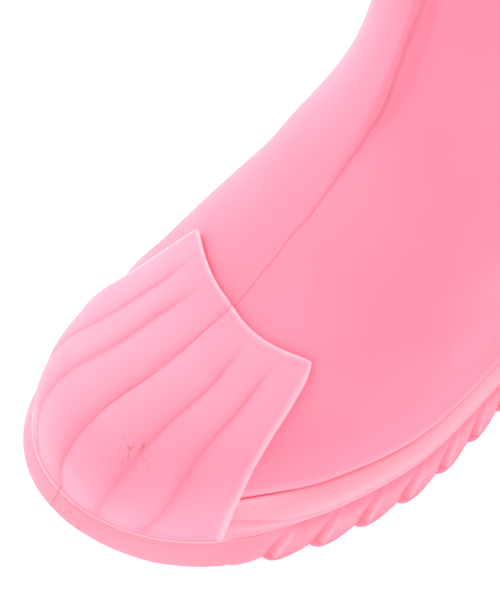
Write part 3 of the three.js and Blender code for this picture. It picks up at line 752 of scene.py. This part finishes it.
def plateOutline(outer, inner, z):  # round one plate at a height, just inside the wall's foot
    low = np.minimum(z, sole["tread"] - 0.1)
    rows = [wallPoints(shares, np.full(len(shares), low))[0][:, :2] for shares in (outer, inner)]
    return np.vstack(rows)


def plateMesh(outer, inner):  # points and faces of one tread plate with a chamfered foot
    height = sole["tread"] + 0.15
    rows = []
    for inset, z in ((0.9, 0.0), (0.25, 0.25), (0, 0.9), (0, 2.4), (0, height)):
        ring = plateOutline(outer, inner, z)
        along = np.roll(ring, -1, 0) - np.roll(ring, 1, 0)
        along /= np.linalg.norm(along, axis=1, keepdims=True) + 1e-9
        ring = ring - np.stack([along[:, 1], -along[:, 0]], 1) * inset
        low = toeRise(ring[:, 1])
        rows.append(np.column_stack([ring, low + z * (1 - low / height)]))
    return np.stack(rows), tubeFaces(5, len(ring))


def buildTread():  # the grooves run across behind the lobes' noses
    grooves = [i for i in range(1, lobeCount // 2) if onOutline(i / lobeCount)[1] - toeY > 34
               and heelY - onOutline(i / lobeCount)[1] > 14]
    none = np.zeros(0)
    first, final = sole["barStart"], sole["barEnd"]
    bars = [np.linspace(i + first, i + final, 26) / lobeCount for i in grooves[:-1]]
    plates = [(outer, 1 - outer[::-1]) for outer in bars]
    toeEnd, heelEnd = (grooves[0] - 1 + final) / lobeCount, (grooves[-1] + first) / lobeCount
    plates += [(np.linspace(-toeEnd, toeEnd, 240), none), (np.linspace(heelEnd, 1 - heelEnd, 360), none)]
    allPoints, faces = [], []
    for outer, inner in plates:
        points, more = plateMesh(outer, inner)
        start = sum(len(p) for p in allPoints)
        allPoints.append(points.reshape(-1, 3))
        faces += [[i + start for i in face] for face in more]
    return makeMesh("treadBars", np.concatenate(allPoints), faces, soleRubber)


for build, cadNode in ((buildBumper, "toe_bumper"), (buildRand, "side_rand"), (buildWall, "outsole"),
                       (buildTread, "outsole")):
    piece = build()
    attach(piece, "boot")
    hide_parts(cadNode)
print("sole built")

# ---------- knit lining and loose footbed ----------
inside = {
    "wall": 2.7, "stiffener": 1.5, "knit": 1.2, "puff": 62, "counter": 84, "counterHeight": 80, "ease": 16,
    "floor": 22.3, "footbed": 4.5, "clearance": 3, "lift": 10, "heelPad": 2.1,
}


def pitch(y):
    return inside["lift"] * ease(-45, 70, y)


def liningOut(p):
    def past(size, x):
        return 1 - ease(size + inside["ease"], size + 2.5 * inside["ease"], x)
    heel = past(inside["counter"], heelY - p[..., 1]) * past(inside["counterHeight"], p[..., 2])
    return -inside["wall"] - inside["stiffener"] * np.maximum(past(inside["puff"], p[..., 1] - toeY), heel)


def heelPad(p):  # holds the lining's inside clear of the heel counter's flat facets
    return inside["heelPad"] * (1 - ease(60, 90, heelY - p[..., 1])) * (1 - ease(82, 100, p[..., 2]))


def buildLining():
    columns = 240
    outer = rings(sections(16, 40, 16), columns, liningOut)
    inner = rings(sections(30, 90, 50), columns, lambda p: liningOut(p) - inside["knit"] - heelPad(p))[::-1]
    for points, extra in ((outer, 0), (inner, inside["knit"])):
        points[..., 2] = np.maximum(points[..., 2], inside["floor"] + pitch(points[..., 1]) + extra)
    points = np.concatenate([outer, inner])
    across = np.linalg.norm(np.roll(points, -1, 1) - points, axis=-1)
    down = np.linalg.norm(np.diff(points, axis=0, prepend=points[:1]), axis=-1)
    wale = np.repeat(np.arange(columns)[None] * 1.45, len(points), 0) + 0 * across
    course = np.cumsum(down.mean(1))[:, None] + 0 * across
    return tube("liningSock", points, liningKnit, {"wale": wale, "course": course})


lining = buildLining()
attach(lining, "boot")
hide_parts("lining_sock")


napLook = {"pitch": 0.9, "light": "#e9dfe2", "dark": "#bfb0b6"}


def buildFootbed():
    rows, across = 160, 60
    y = np.linspace(toeY + 10.5, heelY - 11, rows)
    base = inside["floor"] + inside["knit"] + 0.3 + pitch(y)
    start = np.stack([0 * y, y, base + 2.2], 1)
    edge = lambda p: liningOut(p) - inside["knit"] - inside["clearance"]
    right = cast(start, np.broadcast_to([1.0, 0, 0], start.shape), edge, 90)[:, 0]
    left = cast(start, np.broadcast_to([-1.0, 0, 0], start.shape), edge, 90)[:, 0]
    turn = np.linspace(0, 1, across)
    x = left[:, None] + (right - left)[:, None] * (0.5 - 0.5 * np.cos(np.pi * turn))[None]
    away = np.minimum(np.abs(x - left[:, None]), np.abs(right[:, None] - x))
    ends = np.minimum(y - y[0], y[-1] - y)[:, None]
    near = np.minimum(away, ends)
    crown = 1.6 * np.sqrt(np.clip(1 - (1 - np.clip(near / 2.2, 0, 1)) ** 2, 0, 1))
    dish = 0.9 * np.exp(-((y[:, None] - 95) / 26) ** 2) * np.exp(-((x + 2) / 16) ** 2)
    topZ = base[:, None] + inside["footbed"] - 1.6 + crown - dish
    lowZ = base[:, None] + 0.05 + 0 * x
    Y = np.broadcast_to(y[:, None], x.shape)
    points = np.stack([np.stack([x, Y, topZ], -1), np.stack([x, Y, lowZ], -1)])
    values = {"wale": np.stack([x, x]), "course": np.stack([Y, Y])}
    return makeMesh("footbedPad", points, padFaces(rows, across), knitMaterial("napFacedFoam", napLook), values)


pad = buildFootbed()
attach(pad, "footbed")
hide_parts("footbed")
print("lining and footbed built")

# ---------- finishes of the closed-in parts ----------
hidden = {
    "toe_puff": plainMaterial("pressedFibreboard", ("#9c7a52", "#b79468"), 1.4, 0.85, 0.1),
    "heel_counter": plainMaterial("pressedFibreboardHeel", ("#967550", "#b18e63"), 1.4, 0.85, 0.1),
    "insole_board": plainMaterial("celluloseBoard", ("#b39369", "#cbb08a"), 1.1, 0.9, 0.08),
    "midsole_wedge": plainMaterial("closedCellFoam", ("#d2c8c4", "#e3dbd8"), 0.8, 0.92, 0.15),
    "shank": plainMaterial("rolledSpringSteel", ("#83868b", "#a9acb1"), 0.7, 0.35, 0.02, 1.0, (6, 0.2, 1), 2.5),
}
for name, material in hidden.items():
    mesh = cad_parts[name].data
    mesh.materials.clear()
    mesh.materials.append(material)
print("closed-in parts finished")

# ---------- floor and light ----------
studio = {"world": 0.86, "key": 15.0, "fill": 2.5, "floor": "#ffffff"}


def addLight(name, power, size, spot, target, colour="#ffffff"):
    lamp = bpy.data.lights.new(name, "AREA")
    lamp.energy = power
    lamp.size = size
    lamp.color = toLinear(colour)[:3]
    light = bpy.data.objects.new(name, lamp)
    bpy.context.scene.collection.objects.link(light)
    light.location = spot
    light.rotation_euler = (Vector(spot) - Vector(target)).to_track_quat("Z", "Y").to_euler()


def addStudio():
    mesh = bpy.data.meshes.new("floor")
    mesh.from_pydata([(-4, -4, 0), (4, -4, 0), (4, 4, 0), (-4, 4, 0)], [], [(0, 1, 2, 3)])
    material, tree, shader = newMaterial("paperWhiteFloor")
    tint = spread(tree, noise(tree, objectPoint(tree), 400), 0.3, 0.7, 0.0, 1.0)
    colour = blendColour(tree, tint, toLinear("#fafafa"), toLinear(studio["floor"]))
    connect(tree, shader, Base_Color=colour, Roughness=0.9, Emission_Color=(1, 1, 1, 1), Emission_Strength=0.4)
    mesh.materials.append(material)
    floor = bpy.data.objects.new("floor", mesh)
    bpy.context.scene.collection.objects.link(floor)
    world = bpy.data.worlds.new("studio")
    world.use_nodes = True
    world.node_tree.nodes["Background"].inputs["Color"].default_value = (1, 1, 1, 1)
    world.node_tree.nodes["Background"].inputs["Strength"].default_value = studio["world"]
    bpy.context.scene.world = world
    addLight("key", studio["key"], 0.9, (-1.0, -0.1, 0.9), (0, -0.05, 0.05), "#fff0e4")
    addLight("fill", studio["fill"], 1.2, (1.0, -0.4, 0.8), (0, -0.05, 0.05))
    bpy.context.scene.view_settings.view_transform = "Standard"


addStudio()
print("studio ready")
